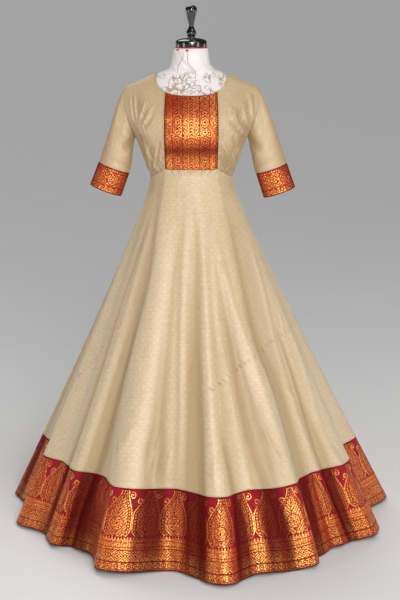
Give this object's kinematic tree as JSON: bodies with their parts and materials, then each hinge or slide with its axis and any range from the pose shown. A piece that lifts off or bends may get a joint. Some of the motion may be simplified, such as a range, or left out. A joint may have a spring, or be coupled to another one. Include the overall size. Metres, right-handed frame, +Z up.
{
  "type": "anarkali gown on a dress form",
  "caption": "Floor-length flared cream silk gown with a brocade yoke, elbow sleeves with brocade cuffs and a deep woven hem border, on a limbless dress form.",
  "frame": {"origin": "middle of the stand's flat underside, on the form's own axis", "axes": "+Z up, the front of the gown faces -Y, the wearer's left is towards +X"},
  "size_m": [1.214, 1.1631, 1.5774],
  "materials": {
    "cream_silk": "soft sheen",
    "zari_brocade": "metallic gold and copper zari on maroon silk",
    "form_cover": "matt",
    "rim_red": "matt",
    "black_gloss": "gloss",
    "stand_metal": "satin"
  },
  "bodies": {
    "root": {"bodice_back": "cream_silk", "bodice_front_left": "cream_silk", "bodice_front_right": "cream_silk", "yoke_panel": "zari_brocade", "sleeve_left": "cream_silk", "sleeve_right": "cream_silk", "cuff_left": "zari_brocade", "cuff_right": "zari_brocade", "skirt_front": "cream_silk", "skirt_back": "cream_silk", "hem_border_front": "zari_brocade", "hem_border_back": "zari_brocade", "form_torso": "form_cover", "form_neck_rim": "rim_red", "form_neck_cap": "black_gloss", "form_finial": "black_gloss", "form_pole": "stand_metal", "form_base": "stand_metal"}
  },
  "joints": []
}
